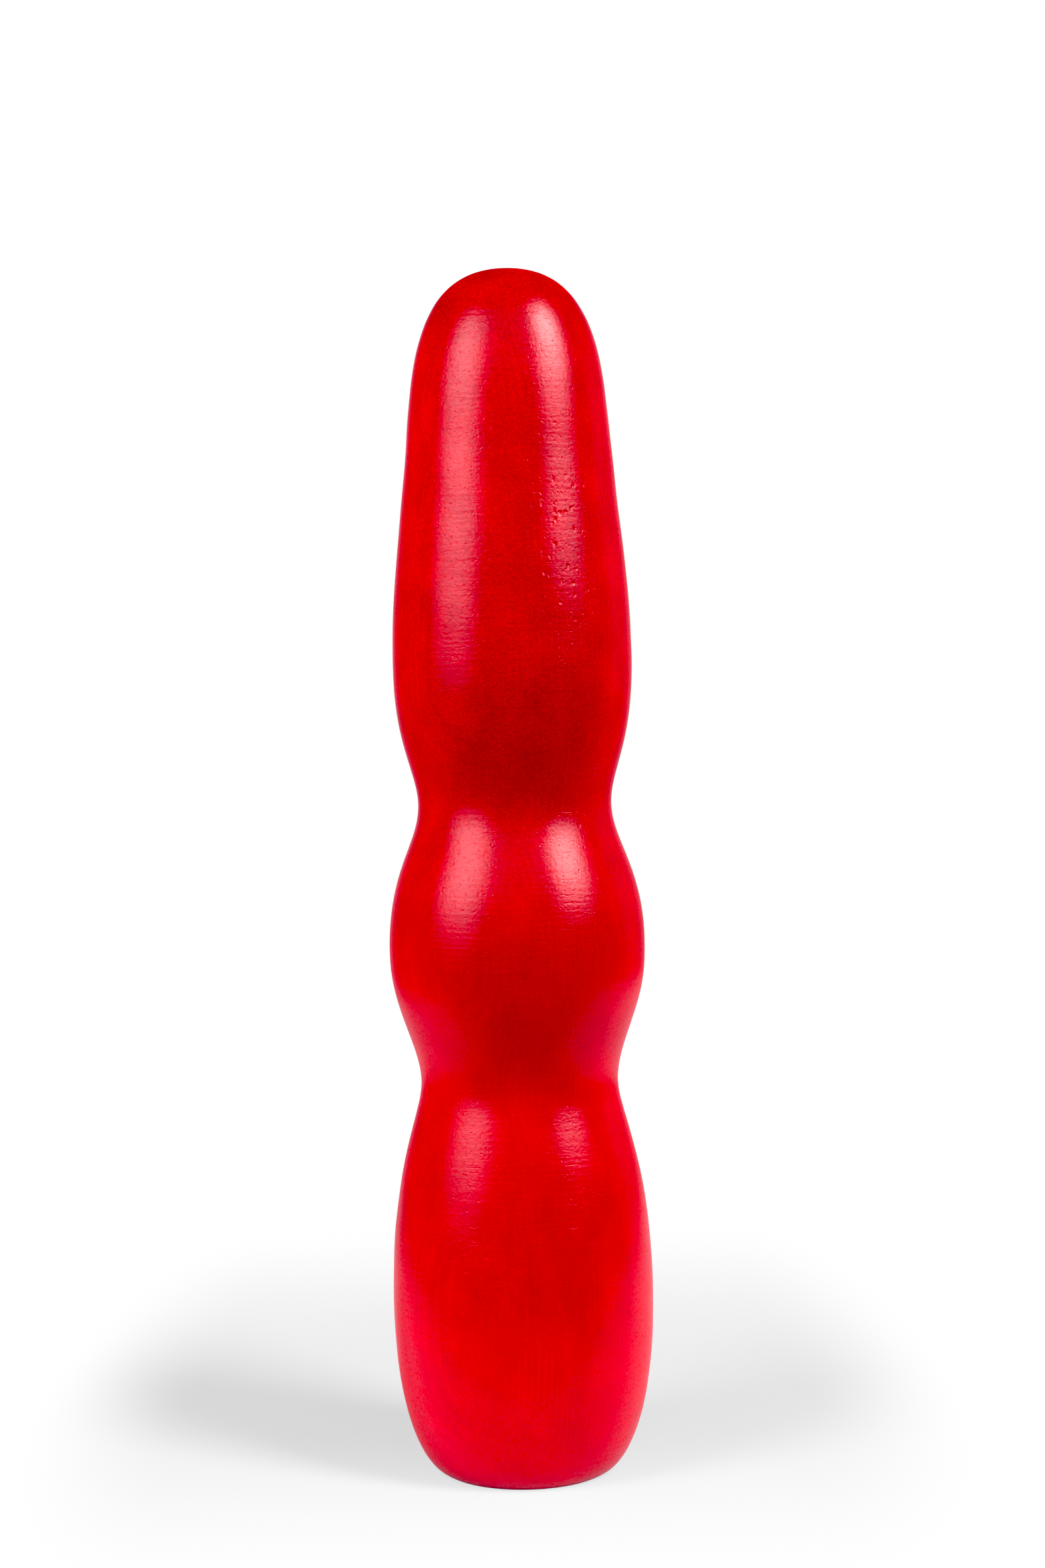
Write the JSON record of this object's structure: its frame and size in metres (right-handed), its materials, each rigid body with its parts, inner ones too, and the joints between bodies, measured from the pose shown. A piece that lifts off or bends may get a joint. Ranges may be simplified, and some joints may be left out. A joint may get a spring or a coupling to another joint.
{
  "type": "turned wooden wand",
  "caption": "Hand-held solid turned wooden wand with a domed tip, soft swellings between narrow waists and a small flat foot to stand on, in translucent red lacquer.",
  "frame": {"origin": "centre of the foot's flat underside, on the turning axis", "axes": "+Z along the turning axis, from the foot to the domed tip; the body is round, so +X and +Y are any two directions square to it"},
  "size_m": [0.0434, 0.0434, 0.2],
  "materials": {
    "red_lacquered_wood": "translucent red gloss lacquer over fine-pored wood"
  },
  "bodies": {
    "root": {"turned_body": "red_lacquered_wood"}
  },
  "joints": []
}
